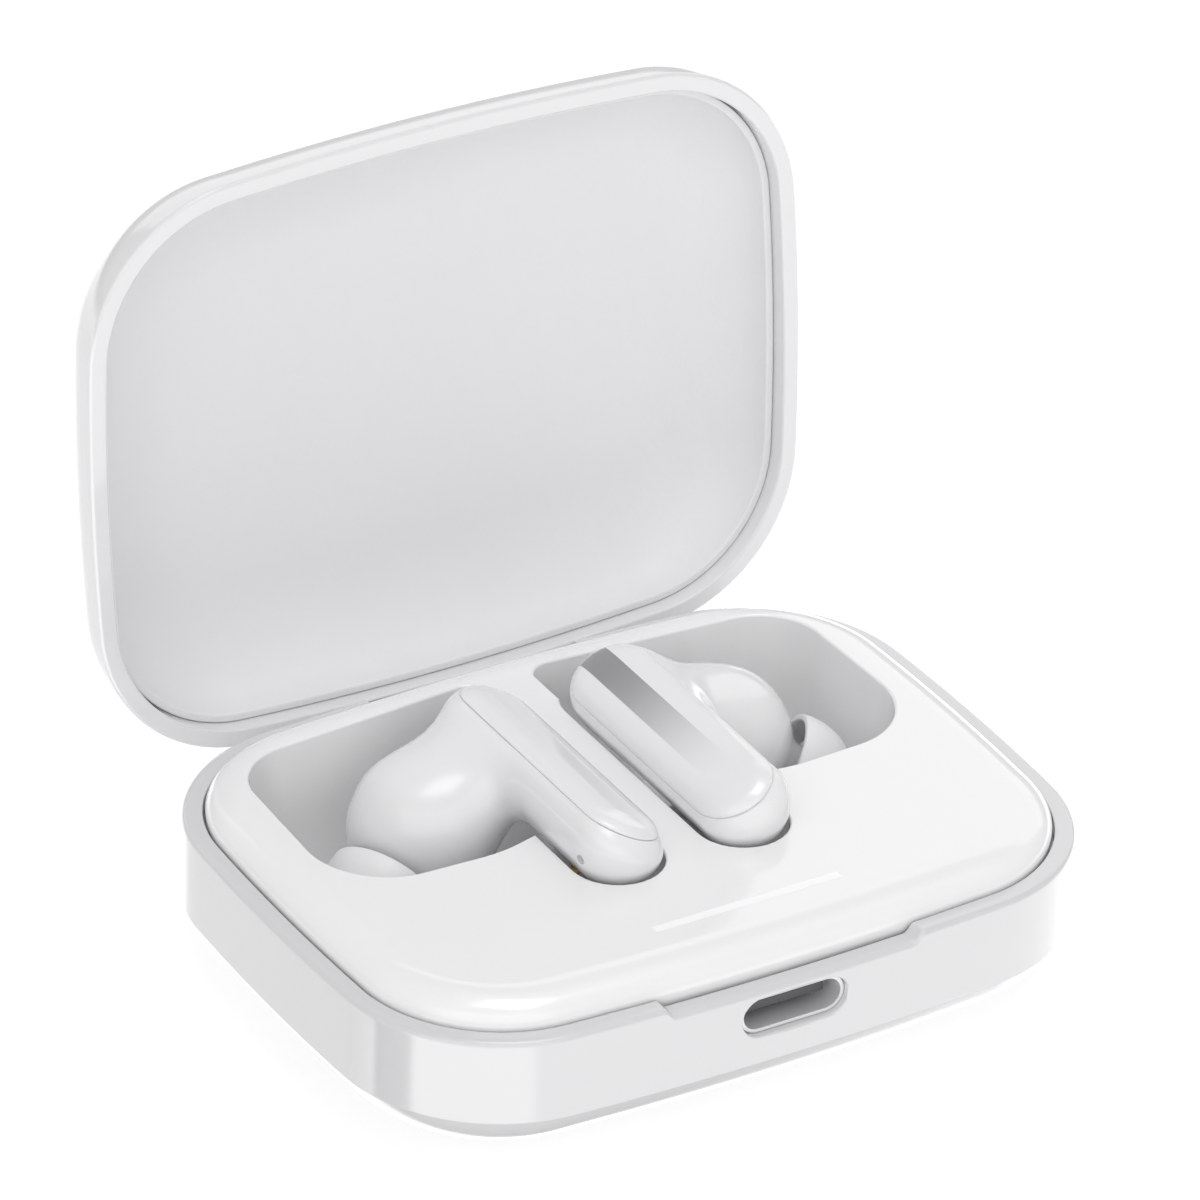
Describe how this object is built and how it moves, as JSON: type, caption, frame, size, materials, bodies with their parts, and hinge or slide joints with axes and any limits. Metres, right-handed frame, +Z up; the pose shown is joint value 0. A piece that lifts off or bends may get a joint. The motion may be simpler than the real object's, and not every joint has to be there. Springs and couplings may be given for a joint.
{
  "type": "wireless earbuds case",
  "caption": "Open pocket charging case with rounded corners, a hinged lid and two stemmed earbuds lying in moulded wells, with a charging port in front.",
  "frame": {"origin": "centre of the flat foot that the case stands on", "axes": "+Z up, +Y towards the hinge at the rear, -Y towards the charging port in front, +X to the right seen from the front"},
  "size_m": [0.062, 0.0616, 0.0576],
  "materials": {
    "shell_white": "high-gloss white moulded polycarbonate",
    "deck_white": "high-gloss white moulded tray",
    "hinge_white": "gloss white hinge arm",
    "liner_grey": "satin light grey lining",
    "bud_white": "gloss white earbud housing",
    "plate_white": "polished white outer plate",
    "silicone": "satin translucent white silicone",
    "light_white": "diffusing light guide",
    "led": "clear resin",
    "steel": "stamped steel",
    "gold": "gold-plated brass",
    "magnet": "nickel-plated magnet",
    "black_plastic": "moulded black resin",
    "circuit_green": "solder-masked circuit board",
    "cell_foil": "foil pouch",
    "foam": "thin closed-cell pad",
    "mesh_dark": "fine woven mesh"
  },
  "bodies": {
    "base": {"base_magnet_left": "magnet", "base_magnet_right": "magnet", "base_shell": "shell_white", "battery_cell": "cell_foil", "battery_pad": "foam", "battery_protection_board": "circuit_green", "board_chips": "black_plastic", "board_screws": "steel", "bud_tray": "deck_white", "hinge_pin": "steel", "latch_magnets": "magnet", "light_guide": "light_white", "main_board": "circuit_green", "pogo_block_left": "black_plastic", "pogo_block_right": "black_plastic", "status_leds": "led", "usb_receptacle": "steel", "usb_tongue": "black_plastic"},
    "lid": {"lid_shell": "shell_white", "lid_liner": "liner_grey", "hinge_tongue": "hinge_white", "lid_magnets": "magnet"},
    "left_bud": {"left_antenna": "gold", "left_bud_magnet": "magnet", "left_charge_contacts": "gold", "left_circuit_board": "circuit_green", "left_coin_cell": "steel", "left_ear_tip": "silicone", "left_faceplate": "plate_white", "left_housing": "bud_white", "left_mic_mesh": "mesh_dark", "left_nozzle_mesh": "mesh_dark", "left_speaker_driver": "steel"},
    "right_bud": {"right_antenna": "gold", "right_bud_magnet": "magnet", "right_charge_contacts": "gold", "right_circuit_board": "circuit_green", "right_coin_cell": "steel", "right_ear_tip": "silicone", "right_faceplate": "plate_white", "right_housing": "bud_white", "right_mic_mesh": "mesh_dark", "right_nozzle_mesh": "mesh_dark", "right_speaker_driver": "steel"},
    "charge_pin_left_front_body": {"charge_pin_left_front": "gold"},
    "charge_pin_left_rear_body": {"charge_pin_left_rear": "gold"},
    "charge_pin_right_front_body": {"charge_pin_right_front": "gold"},
    "charge_pin_right_rear_body": {"charge_pin_right_rear": "gold"}
  },
  "joints": [
    {"name": "lid_hinge", "type": "hinge", "parent": "base", "child": "lid", "pos_m": [0, 0.0232, 0.01069], "axis": [1, 0, 0], "range_deg": [0, 95]},
    {"name": "left_bud_lift", "type": "slide", "parent": "base", "child": "left_bud", "axis": [0, 0, 1], "range_m": [0, 0.03]},
    {"name": "right_bud_lift", "type": "slide", "parent": "base", "child": "right_bud", "axis": [0, 0, 1], "range_m": [0, 0.03]},
    {"name": "charge_pin_left_front_travel", "type": "slide", "parent": "base", "child": "charge_pin_left_front_body", "axis": [0, 0, 1], "range_m": [-0.0005, 0], "stiffness_N_per_m": 300, "springref_m": 0.0005},
    {"name": "charge_pin_left_rear_travel", "type": "slide", "parent": "base", "child": "charge_pin_left_rear_body", "axis": [0, 0, 1], "range_m": [-0.0005, 0], "stiffness_N_per_m": 300, "springref_m": 0.0005},
    {"name": "charge_pin_right_front_travel", "type": "slide", "parent": "base", "child": "charge_pin_right_front_body", "axis": [0, 0, 1], "range_m": [-0.0005, 0], "stiffness_N_per_m": 300, "springref_m": 0.0005},
    {"name": "charge_pin_right_rear_travel", "type": "slide", "parent": "base", "child": "charge_pin_right_rear_body", "axis": [0, 0, 1], "range_m": [-0.0005, 0], "stiffness_N_per_m": 300, "springref_m": 0.0005}
  ]
}
